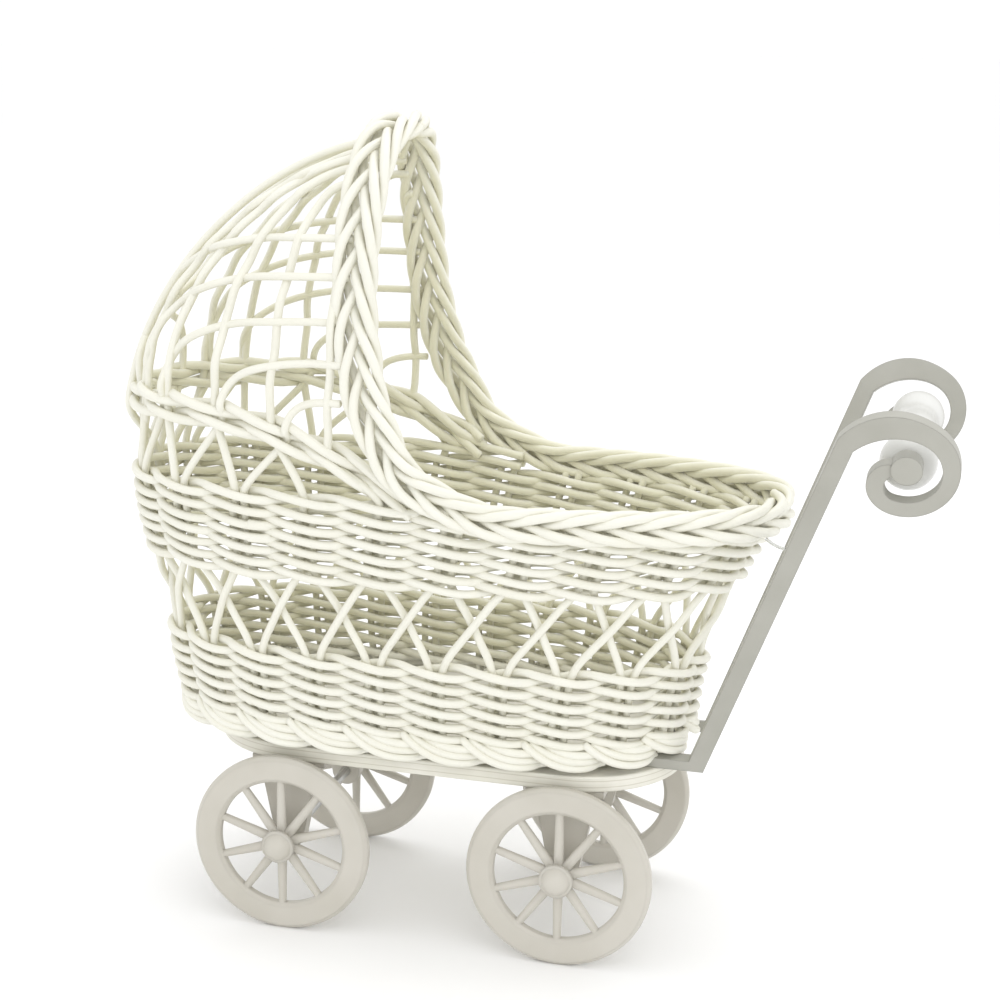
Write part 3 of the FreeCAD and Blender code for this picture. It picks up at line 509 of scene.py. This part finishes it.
def plywood_material():
    """Thinly painted plywood: plies show as lines on the edge, faint grain on the faces."""
    paint = Paint("painted_plywood")
    place = paint.position()
    grain = paint.noise(paint.stretched(place, (14.0, 160.0, 160.0)), 1.0, 4.0, 0.6)
    blotch = paint.noise(place, 40.0, 3.0, 0.6)
    parts = paint.node("ShaderNodeSeparateXYZ")
    paint.link(place, parts.inputs[0])
    low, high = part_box("base_board")
    wave = paint.noise(paint.stretched(place, (30.0, 30.0, 5.0)), 1.0)
    wobble = paint.math("MULTIPLY", wave, 0.0007)
    level = paint.math("ADD", paint.math("SUBTRACT", parts.outputs["Z"], low.z), wobble)
    share = paint.math("DIVIDE", level, high.z - low.z)
    plies = paint.math("PINGPONG", paint.math("MULTIPLY", share, PLY_LINES), 1.0)
    glue = paint.ramp(plies, (0.60, 0.57, 0.50), (1, 1, 1), (0.02, 0.22))
    base = paint.ramp(blotch, (0.76, 0.745, 0.65), (0.83, 0.815, 0.735))
    colour = paint.mix(paint.span(grain, 0.0, 0.25), base, (0.64, 0.61, 0.54))
    geometry = paint.node("ShaderNodeNewGeometry")
    facing = paint.node("ShaderNodeSeparateXYZ")
    paint.link(geometry.outputs["Normal"], facing.inputs[0])
    edge = paint.math("SUBTRACT", 1.0, paint.math("ABSOLUTE", facing.outputs["Z"], 0.0))
    edge = paint.math("MULTIPLY", edge, 0.6)
    colour = paint.mix(edge, colour, paint.mix(1.0, colour, glue, "MULTIPLY"))
    normal = paint.bump(grain, 0.22, 0.0003)
    normal = paint.bump(paint.math("MULTIPLY", plies, edge), 0.35, 0.0003, normal)
    return paint.finish(colour, paint.span(blotch, 0.42, 0.62), normal, Specular_IOR_Level=0.4)


def grip_material():
    """Glossy white turned grip with fine rings left by the lathe."""
    paint = Paint("turned_grip")
    place = paint.position()
    rings = paint.noise(paint.stretched(place, (1.0, 900.0, 1.0)), 1.0, 2.0, 0.5)
    drift = paint.noise(place, 30.0, 3.0)
    colour = paint.ramp(drift, (0.67, 0.67, 0.64), (0.74, 0.74, 0.72))
    normal = paint.bump(rings, 0.10, 0.00008)
    return paint.finish(colour, paint.span(drift, 0.24, 0.36), normal, Specular_IOR_Level=0.5,
                        Coat_Weight=0.25, Coat_Roughness=0.08)


def steel_material():
    """Zinc-plated steel with drawn lines along the rods."""
    paint = Paint("plated_steel")
    place = paint.position()
    lines = paint.noise(paint.stretched(place, (1500.0, 40.0, 1500.0)), 1.0, 3.0, 0.6)
    colour = paint.ramp(lines, (0.52, 0.52, 0.53), (0.72, 0.72, 0.71))
    normal = paint.bump(lines, 0.12, 0.00005)
    return paint.finish(colour, paint.span(lines, 0.26, 0.46), normal, Metallic=1.0)


def nylon_material():
    """Clear nylon: see-through with faint drawing lines."""
    paint = Paint("clear_nylon_tie")
    place = paint.position()
    lines = paint.noise(place, 700.0, 2.0)
    colour = paint.ramp(lines, (0.88, 0.90, 0.90), (0.96, 0.97, 0.97))
    normal = paint.bump(lines, 0.1, 0.00005)
    return paint.finish(colour, paint.span(lines, 0.08, 0.22), normal,
                        Transmission_Weight=0.85, IOR=1.53)



REED = reed_material()
WHEEL = moulded_material("moulded_wheel", (0.54, 0.515, 0.45), (0.595, 0.57, 0.51), (0.30, 0.44),
                         speckle=0.10, coat=0.1, edge=0.0014)
HANDLE = moulded_material("painted_handle", (0.38, 0.375, 0.33), (0.435, 0.43, 0.385), (0.34, 0.5),
                          speckle=0.14)
FLOOR_BOARD = moulded_material("painted_floor", (0.74, 0.72, 0.66), (0.82, 0.80, 0.75), (0.45, 0.6),
                               speckle=0.2)
PLYWOOD = plywood_material()
GRIP = grip_material()
STEEL = steel_material()
NYLON = nylon_material()


# ---------------------------------------------------------------- woven bands

STEPS_PER_PAIR = 14
ROW_RISE = 1.5              # how far a row's strands rise and fall where they cross
CREST_POWER = 0.8
HEIGHT_NOISE = 0.55
OUT_NOISE = 0.2

LOW_ROWS = [87.2 + 5.15 * i for i in range(6)]
LOW_TURNS = (13.6, 13.6 + PAIRS + 0.4)
HIGH_ROWS = [147.2 + 4.95 * i for i in range(7)]
HIGH_TURNS = (14.3, 14.3 + PAIRS + 0.3)
RIM_LEVEL = 169.0           # rows from here up run only under the hood
HOOD_TURNS = (4.9, 17.3)


def shaped(wave):
    """Wave with fuller crests, so a strand lies longer outside or inside a pair."""
    return np.sign(wave) * np.abs(wave) ** CREST_POWER


def slow_noise(turns, size):
    """Random hand-made unevenness that changes about once per stake pair."""
    knots = np.arange(math.floor(turns[0]) - 1, math.ceil(turns[-1]) + 2)
    values = RNG.normal(0, 1, len(knots)) * size * 0.5
    share = turns - np.floor(turns)
    soft = share * share * (3 - 2 * share)
    k = (np.floor(turns) - knots[0]).astype(int)
    return values[k] * (1 - soft) + values[k + 1] * soft


def twined_rows(strands, first_turn, last_turn, levels):
    """Rows of two strands that pass outside one stake pair and inside the next, crossing between."""
    turns = np.arange(first_turn, last_turn + 1e-6, 1.0 / STEPS_PER_PAIR)
    for row, level in enumerate(levels):
        for member in (0, 1):
            phase = np.pi * (turns - PAIR_TURN - member - row % 2)
            height = level - ROW_RISE * np.sin(phase) + slow_noise(turns, HEIGHT_NOISE)
            swing = (STAKE + WEAVER) * shaped(np.cos(phase))
            out = WALL_SINK + swing + slow_noise(turns, OUT_NOISE)
            path = even_line(wall(turns, height, out))
            strands.add(path, WEAVER * (0.96 + 0.08 * RNG.random()))


def lower_weave():
    """The lower woven band."""
    strands = Strands()
    twined_rows(strands, *LOW_TURNS, LOW_ROWS)
    strands.piece("lower_weave", REED, ["lower_weave_band"])


def upper_weave():
    """The upper woven band, taller under the hood."""
    strands = Strands()
    twined_rows(strands, *HIGH_TURNS, [z for z in HIGH_ROWS if z < RIM_LEVEL])
    twined_rows(strands, *HOOD_TURNS, [z for z in HIGH_ROWS if z >= RIM_LEVEL])
    strands.piece("upper_weave", REED, ["upper_weave_band"])


lower_weave()
upper_weave()


# ---------------------------------------------------------------- foot border

LANES = 3                   # strands side by side in a scallop
LANE_TURN = 0.135           # each lane starts further on, ends sooner, and lies higher and deeper
LANE_SHORTER = 0.06
LANE_RISE = 2.75
LANE_SINK = 0.9
SCALLOP_START = -0.55
SCALLOP_TURNS = 1.42
SCALLOP_LOW = 77.0
SCALLOP_HIGH = 86.5
SCALLOP_POWER = 2.6
SCALLOP_SINK = -3.6
SCALLOP_BULGE = 5.2
SCALLOP_POINTS = 26
TUCK_FROM = 0.75            # share of a scallop after which it rises to tuck behind the next
TUCK_RISE = 1.2
BORDER_STRAND = 1.6
FEET_RISE = 3.0
FEET_FROM = 55.0
FEET_RUN = 42.0


def border_lift(x):
    """How far the border rises over the handle's feet."""
    return FEET_RISE * np.clip((x - FEET_FROM) / FEET_RUN, 0, 1) ** 2


def scallop(pair, lane):
    """One strand of a scallop: it turns down out of the wall, runs along and tucks in again."""
    u = np.linspace(0, 1, SCALLOP_POINTS)
    start = pair + PAIR_TURN + SCALLOP_START + LANE_TURN * lane
    turns = start + (SCALLOP_TURNS - LANE_SHORTER * lane) * u
    low = SCALLOP_LOW + LANE_RISE * lane + RNG.normal(0, 0.15)
    tuck = TUCK_RISE * np.clip(u - TUCK_FROM, 0, 1) / (1 - TUCK_FROM) * u
    height = low + (SCALLOP_HIGH - low) * (1 - u) ** SCALLOP_POWER + tuck
    bulge = np.sin(np.pi * np.clip(u * 1.08 + 0.05, 0, 1)) ** 0.8
    out = SCALLOP_SINK + SCALLOP_BULGE * bulge - LANE_SINK * lane
    base = wall(turns, height, out)
    base[:, 2] += border_lift(base[:, 0])
    return smooth_line(base[::2])


def foot_border():
    """Scallops: each pair's ends turn down and along and tuck behind the next."""
    strands = Strands()
    for pair in range(PAIRS):
        for lane in range(LANES):
            strands.add(scallop(pair, lane), BORDER_STRAND)
    strands.piece("foot_border_scallops", REED, ["foot_border"])


foot_border()


# ---------------------------------------------------------------- stakes

# Each basket stake goes from the foot through both bands to the inside of the rim.
STAKE_HEIGHTS = np.array([80.0, 90, 100, 112, 118, 126, 134, 142, 149, 154, 162, 170])
STAKE_TURNS = 0.25 * np.arange(len(STAKE_HEIGHTS))
STAKE_NOISE = 0.3
TRELLIS_LOW = 115.0
TRELLIS_HIGH = 148.5
CROSSING = 133.5
CROSSING_SPREAD = 9.0
CROSSING_OUT = 1.6

# Each riser: the stake pair it comes from, where it passes the middle band, how high it ends
# and how early it bends forward.
RISERS = ((16.08, -32.0, 284.0, 0.4), (15.05, -55.0, 292.0, 0.65), (14.05, -79.0, 297.5, 0.95),
          (13.02, -102.0, 301.5, 1.25), (12.02, -116.0, 304.0, 1.5))
# The same for the arched stakes, which lean further over and bend forward early.
ARCS = ((14.2, -49.0, 215.0, 0.7), (13.2, -76.0, 228.5, 0.7), (12.2, -104.0, 243.5, 0.7),
        (11.75, -114.0, 259.5, 0.7), (11.35, -122.0, 273.0, 0.7))
RISER = STAKE * 1.06        # radius
STAKE_ROOT = 170.0          # hood stakes come out of the upper band above this height
ROOT_RUN = 9.0
SPINE_ROOT_RUN = 12.0
STAKE_FRONT = -27.0         # they end inside the arch
STAKE_POINTS = 15
SPINE_POINTS = 14
SPINE_OUT = 0.6
BACK_SHARE = 0.985
HOOD_SINK = -1.0
HOOD_WEAVE = 1.4            # how far a stake swings out and in as it passes the others


def rim_stake(pair, lean):
    """One stake of a pair; it crosses its neighbour between the bands and ends inside the rim."""
    share = np.clip((STAKE_HEIGHTS - TRELLIS_LOW) / (TRELLIS_HIGH - TRELLIS_LOW), 0, 1)
    turns = pair + PAIR_TURN + lean * (MEMBER + (1 - 2 * MEMBER) * share)
    crossing = np.exp(-((STAKE_HEIGHTS - CROSSING) / CROSSING_SPREAD) ** 2)
    out = WALL_SINK + lean * CROSSING_OUT * crossing + slow_noise(STAKE_TURNS, STAKE_NOISE)
    return smooth_line(wall(turns, STAKE_HEIGHTS, out))


def pair_on(side, turn):
    """The same stake pair seen from either side of the pram."""
    return turn if side < 0 else PAIRS - turn + 2 * PAIR_TURN


def root(turn, rise):
    """The first two points of a hood stake, in the upper band."""
    return list(wall(np.full(2, turn), np.array([STAKE_ROOT, STAKE_ROOT + rise]), WALL_SINK))


def back_limit(z):
    """How far back a hood stake may lie at a height."""
    return float(ARCH_PLANE - (ARCH_PLANE - back_end(z)) * BACK_SHARE)


def bent_stake(place, side, rise_power, weave_run, weave_start):
    """Stake that comes out of the upper band, passes the middle band, weaves past others and
    bends forward to the arch."""
    turn_low, foot, top, bend = place
    low = float(middle_band_height(foot))
    points = root(pair_on(side, turn_low), ROOT_RUN)
    for i in range(STAKE_POINTS):
        turn = math.pi / 2 * i / (STAKE_POINTS - 1)
        z = low + (top - low) * math.sin(turn) ** rise_power
        x = STAKE_FRONT + (foot - STAKE_FRONT) * max(0.0, math.cos(turn)) ** bend
        x = max(x, back_limit(z))
        weave = HOOD_WEAVE * math.cos(math.pi * ((x + z) / weave_run + weave_start))
        out = HOOD_SINK + weave if i > 0 else WALL_SINK
        points.append(side_point(x, z, out, side))
    return smooth_line(points)


def spine_stake(side):
    """Stake that follows the hood's ridge from the back to the arch's crown."""
    points = root(PAIRS / 2 + PAIR_TURN + side * MEMBER, SPINE_ROOT_RUN)
    for i in range(SPINE_POINTS):
        turn = math.pi / 2 * i / (SPINE_POINTS - 1)
        z = HOOD_BASE + 1.0 + (HOOD_RISE - 2.0) * math.sin(turn)
        x = min(STAKE_FRONT, back_limit(z))
        points.append(side_point(x, z, SPINE_OUT, side))
    return smooth_line(points)


def stakes():
    """All stakes of the basket and hood."""
    lower = Strands()
    for pair in range(PAIRS):
        for lean in (-1, 1):
            lower.add(rim_stake(pair, lean), STAKE * (0.95 + 0.1 * RNG.random()))
    lower.piece("trellis_strands", REED, ["trellis_stakes"])
    risers = Strands()
    arcs = Strands()
    for side in (-1, 1):
        for order, place in enumerate(RISERS):
            risers.add(bent_stake(place, side, 1.0, 15.0, order), RISER)
        risers.add(spine_stake(side), RISER)
        for order, place in enumerate(ARCS):
            arcs.add(bent_stake(place, side, 0.7, 21.0, order + 1), STAKE)
    risers.piece("hood_riser_strands", REED, ["hood_risers", "upper_stakes"])
    arcs.piece("hood_arc_strands", REED, ["hood_arcs"])


stakes()


# ---------------------------------------------------------------- middle band

BAND_ANGLES = (87.0, 273.0)
BAND_POINTS = 420
BAND_STEP = 1.0
BAND_PITCH = 27.0           # run of half a twist
BAND_ROWS = (-2.9, 2.9)     # the two rows, below and above the band's middle
ROW_SHARE = 0.35            # the upper row's twist is this far ahead
BAND_SINK = -4.4
BAND_SWING = 2.9
BAND_NOISE = (0.3, 0.4)
BAND_STRAND = 1.85


def middle_band():
    """Two twined rows around the back of the hood, each of two strands."""
    x, y = outline(HOOD_BASE, np.linspace(*BAND_ANGLES, BAND_POINTS))
    base = even_line(np.stack([x, y, middle_band_height(x)], -1), BAND_STEP)
    outward = unit(np.stack([base[:, 0] * 0.55 + 20, base[:, 1], 0 * base[:, 2]], -1))
    halves = np.arange(len(base)) * BAND_STEP / BAND_PITCH
    strands = Strands()
    for row, lift in enumerate(BAND_ROWS):
        for member in (0, 1):
            phase = np.pi * (halves + member + ROW_SHARE * row)
            swing = BAND_SWING * shaped(np.cos(phase))
            out = BAND_SINK + swing + slow_noise(halves, BAND_NOISE[0])
            rise = lift - ROW_RISE * np.sin(phase) + slow_noise(halves, BAND_NOISE[1])
            line = base + outward * out[:, None]
            line[:, 2] += rise
            strands.add(even_line(line), BAND_STRAND)
    strands.piece("middle_band_twist", REED, ["hood_middle_band"])


middle_band()


# ---------------------------------------------------------------- plaited rim and arch

# The arch's +Y half, from the rim up to the crown.
ARCH_PATH = ((8.0, 56.5, 183.0), (-3.5, 57.5, 191.0), (-11.0, 57.0, 203.5), (-17.5, 54.5, 217.0),
             (-21.0, 51.0, 231.0), (-23.5, 48.0, 244.5), (-24.5, 45.0, 258.5), (-24.8, 41.0, 272.5),
             (-24.4, 36.0, 286.5), (-23.4, 28.5, 299.5), (-22.0, 16.5, 309.5), (-20.5, 0.0, 313.0))
RIM_TURNS = (11 + 5.9, 22 + 5.1)
RIM_POINTS = 34
RIM_START = 22.0            # x from which the plait follows the rim
RIM_OUT = -0.8
RIM_MIDDLE = 174.8
RIM_RISE = 6.1              # towards the arch the rim rises
RIM_RISE_FROM = 36.0
RIM_RISE_RUN = 24.0
PATH_STEP = 1.0

PLAIT_STRANDS = 7
PLAIT_PERIOD = 101.0
RIM_HALF = 4.9              # half of the plait's width on the rim and on the arch
ARCH_HALF = 6.9
WIDER_FROM = 4.0            # height above the rim at which it begins to widen
WIDER_RUN = 35.0
PLAIT_THICK = 3.1
PLAIT_STRAND = 1.8

# The line inside the opening that the plait's outward directions lead away from.
PLAIT_DROP = (0, 0, 3)
PLAIT_CORE_LOW = (-20, 0, 172)
PLAIT_CORE_HIGH = (75, 0, 238)


def opening_path():
    """Closed line down the near side of the arch, round the rim and up the far side."""
    arch = np.array(ARCH_PATH)
    near = arch[::-1] * (1, -1, 1)
    rim = []
    for turn in np.linspace(*RIM_TURNS, RIM_POINTS):
        at = wall(turn, RIM_MIDDLE, RIM_OUT)
        if at[0] > RIM_START:
            lift = RIM_RISE * (max(0.0, RIM_RISE_FROM - at[0]) / RIM_RISE_RUN) ** 2
            rim.append((at[0], at[1], RIM_MIDDLE + lift))
    far = arch[:-1]
    return smooth_line(np.concatenate([near, rim, far, near[:1]]), PATH_STEP)


def opening_plait():
    """Fishbone plait along the arch and the rim, narrower on the rim: every strand crosses from
    the middle outward over the strands coming back."""
    line = opening_path()
    outward = unit(line - np.clip(line - PLAIT_DROP, PLAIT_CORE_LOW, PLAIT_CORE_HIGH))
    length = len(line) * np.linalg.norm(line[1] - line[0])
    run = np.linspace(0, 2 * np.pi * round(length / PLAIT_PERIOD), len(line))
    on_arch = np.clip((line[:, 2] - RIM_MIDDLE - WIDER_FROM) / WIDER_RUN, 0, 1)
    width = RIM_HALF + (ARCH_HALF - RIM_HALF) * on_arch
    tangents = unit(np.gradient(line, axis=0))
    side = unit(np.cross(outward, tangents))
    up = np.cross(tangents, side)
    strands = Strands()
    for member in range(PLAIT_STRANDS):
        phase = run + 2 * np.pi * member / PLAIT_STRANDS
        across = width * np.sin(phase)
        lift = PLAIT_THICK * np.sin(2 * phase)
        strands.add(even_line(line + side * across[:, None] + up * lift[:, None]), PLAIT_STRAND)
    strands.piece("opening_plait", REED, ["rim_braid", "hood_arch_braid"])


opening_plait()


# ---------------------------------------------------------------- CAD nodes that stay

SLOT_MATERIAL = {"plywood": PLYWOOD, "floor_board": FLOOR_BOARD, "wheel_plastic": WHEEL,
                 "handle_paint": HANDLE, "grip_white": GRIP, "steel": STEEL, "clear_nylon": NYLON}


def paint_node(name, material):
    """Give a CAD node a material."""
    obj = frame["nodes"][name]
    obj.data.materials.clear()
    obj.data.materials.append(material)
    obj.data.shade_smooth()


for part in frame["record"]["subparts"]:
    chosen = SLOT_MATERIAL.get(part["material_slot"])
    if chosen is not None:
        paint_node(part["node"], chosen)


# ---------------------------------------------------------------- floor, light, camera (metres)

FLOOR_HALF = 60.0
WORLD_STRENGTH = 1.04
LAMP_TARGET = Vector(((cad_low.x + cad_high.x) / 2, 0, 0.16))
# Each lamp: its name, place, power in watts and width.
LAMPS = (("key_light", (0.7, -1.3, 1.4), 5.0, 1.2), ("fill_light", (-1.4, -0.9, 0.7), 0.4, 1.2),
         ("top_light", (0.2, 0.3, 1.8), 7.0, 1.4))

CAMERA_AZIMUTH = math.radians(14.06)
CAMERA_ELEVATION = math.radians(14.0)
CAMERA_ROLL = math.radians(0.9)
CAMERA_DISTANCE = 0.724
CAMERA_TARGET = Vector((ROW_SHIFT[0] + 0.0229, 0.0, 0.1692))
CAMERA_LENS = 66.92
CAMERA_SHIFT = (-0.009, 0.002)


def studio_floor():
    """Wide pale floor."""
    paint = Paint("pale_floor")
    drift = paint.noise(paint.position(), 3.0, 2.0)
    colour = paint.ramp(drift, (0.965, 0.965, 0.965), (0.975, 0.975, 0.975))
    material = paint.finish(colour, paint.span(drift, 0.75, 0.85), Specular_IOR_Level=0.1)
    half = FLOOR_HALF
    corners = [(-half, -half, 0), (half, -half, 0), (half, half, 0), (-half, half, 0)]
    mesh = bpy.data.meshes.new("studio_floor")
    mesh.from_pydata(corners, [], [(0, 1, 2, 3)])
    mesh.materials.append(material)
    floor = bpy.data.objects.new("studio_floor", mesh)
    bpy.context.scene.collection.objects.link(floor)


def studio_light():
    """White surroundings and three soft lamps."""
    world = bpy.data.worlds.new("studio_world")
    world.use_nodes = True
    background = world.node_tree.nodes["Background"]
    background.inputs["Color"].default_value = (1, 1, 1, 1)
    background.inputs["Strength"].default_value = WORLD_STRENGTH
    bpy.context.scene.world = world
    bpy.context.scene.view_settings.view_transform = "Standard"
    for name, place, power, size in LAMPS:
        data = bpy.data.lights.new(name, "AREA")
        data.energy = power
        data.size = size
        lamp = bpy.data.objects.new(name, data)
        lamp.location = place
        lamp.rotation_mode = "QUATERNION"
        lamp.rotation_quaternion = (LAMP_TARGET - Vector(place)).to_track_quat("-Z", "Y")
        bpy.context.scene.collection.objects.link(lamp)


def camera():
    """Camera a little above the pram, turned towards its handle end."""
    a, e, r = CAMERA_AZIMUTH, CAMERA_ELEVATION, CAMERA_ROLL
    back = Vector((math.sin(a) * math.cos(e), -math.cos(a) * math.cos(e), math.sin(e)))
    right = Vector((math.cos(a), math.sin(a), 0))
    up = back.cross(right)
    tilted_right = right * math.cos(r) + up * math.sin(r)
    tilted_up = up * math.cos(r) - right * math.sin(r)
    data = bpy.data.cameras.new("camera")
    data.lens = CAMERA_LENS
    data.sensor_width = 36.0
    data.shift_x, data.shift_y = CAMERA_SHIFT
    data.clip_start = 0.05
    data.clip_end = 50.0
    made = bpy.data.objects.new("camera", data)
    place = Matrix((tilted_right, tilted_up, back)).transposed().to_4x4()
    place.translation = CAMERA_TARGET + back * CAMERA_DISTANCE
    made.matrix_world = place
    bpy.context.scene.collection.objects.link(made)
    bpy.context.scene.camera = made


studio_floor()
studio_light()
camera()
